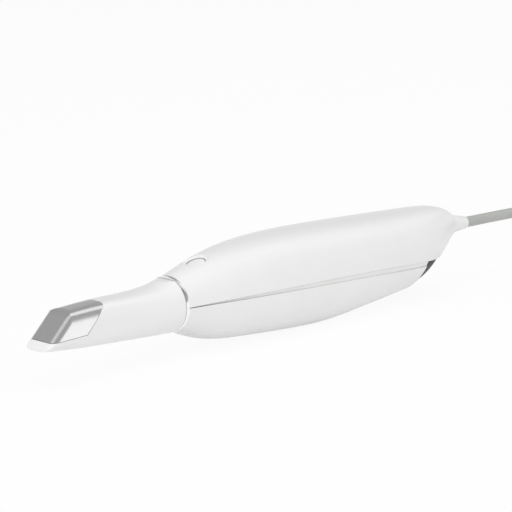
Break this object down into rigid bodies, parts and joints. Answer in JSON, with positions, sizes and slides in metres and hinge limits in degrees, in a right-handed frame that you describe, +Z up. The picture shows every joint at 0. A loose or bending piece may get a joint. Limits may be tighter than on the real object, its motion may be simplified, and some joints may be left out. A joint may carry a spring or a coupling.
{
  "type": "intraoral scanner",
  "caption": "Wired handheld intraoral scanner with a slip-on mirror tip, a scan button, a two-part handle, a vented rear end and a lead with a flat plug.",
  "frame": {"origin": "on the table, halfway along the wand without its lead", "axes": "+X from the tip to the cable, +Z up from the table, -Y towards the side seen in the picture"},
  "size_m": [0.5785, 0.0496, 0.0453],
  "materials": {
    "white_shell": "satin moulded plastic",
    "white_tip": "gloss moulded plastic",
    "hood_metal": "polished",
    "ring_chrome": "polished",
    "dark_plastic": "matt",
    "glass": "clear",
    "mirror": "silvered",
    "frame_metal": "anodised",
    "bright_metal": "plain",
    "board": "lacquered board",
    "chip": "matt",
    "copper": "enamelled winding",
    "gold": "plated",
    "lamp_lens": "clear",
    "seal_rubber": "matt",
    "cable_grey": "satin jacket",
    "tie_fabric": "woven"
  },
  "bodies": {
    "handle": {"front_ring": "ring_chrome", "upper_shell": "white_shell", "lower_shell": "white_shell", "rear_vent": "dark_plastic", "cable_boot": "white_tip", "nose_barrel": "frame_metal", "nose_seal": "seal_rubber", "nose_window": "glass", "contact_pins": "gold", "button_switch": "chip", "button_board": "board", "optical_frame": "frame_metal", "guide_rods": "bright_metal", "magnet_yoke": "bright_metal", "beam_splitter": "glass", "lamp_housing": "frame_metal", "pattern_plate": "glass", "condenser_lens": "glass", "lamp_board": "board", "lamp": "lamp_lens", "tube_lens": "glass", "sensor_board": "board", "image_sensor": "chip", "main_board": "board", "processor": "chip", "heat_sink": "frame_metal", "cable_socket": "chip", "screws": "bright_metal", "blower_case": "dark_plastic", "inner_lead": "cable_grey", "cable": "cable_grey", "cable_hank": "cable_grey", "hank_tie": "tie_fabric", "cable_tail": "cable_grey", "plug_body": "dark_plastic", "plug_shell": "bright_metal", "plug_tongue": "dark_plastic"},
    "tip": {"tip_sleeve": "white_tip", "tip_hood": "hood_metal", "tip_mirror": "mirror"},
    "button": {"scan_button": "white_shell"},
    "carriage": {"focus_carriage": "frame_metal", "focus_lens": "glass", "focus_coil": "copper"},
    "rotor": {"blower_rotor": "dark_plastic"}
  },
  "joints": [
    {"name": "tip_slide", "type": "slide", "parent": "handle", "child": "tip", "axis": [-1, 0, 0], "range_m": [0, 0.045]},
    {"name": "button_press", "type": "slide", "parent": "handle", "child": "button", "axis": [0.2588, 0, -0.9659], "range_m": [0, 0.0006], "stiffness_N_per_m": 2500},
    {"name": "focus_slide", "type": "slide", "parent": "handle", "child": "carriage", "axis": [1, 0, 0], "range_m": [-0.0012, 0.0012]},
    {"name": "blower_spin", "type": "hinge", "parent": "handle", "child": "rotor", "pos_m": [0.0859, 0, 0.014], "axis": [0, 0, 1], "continuous": true}
  ]
}
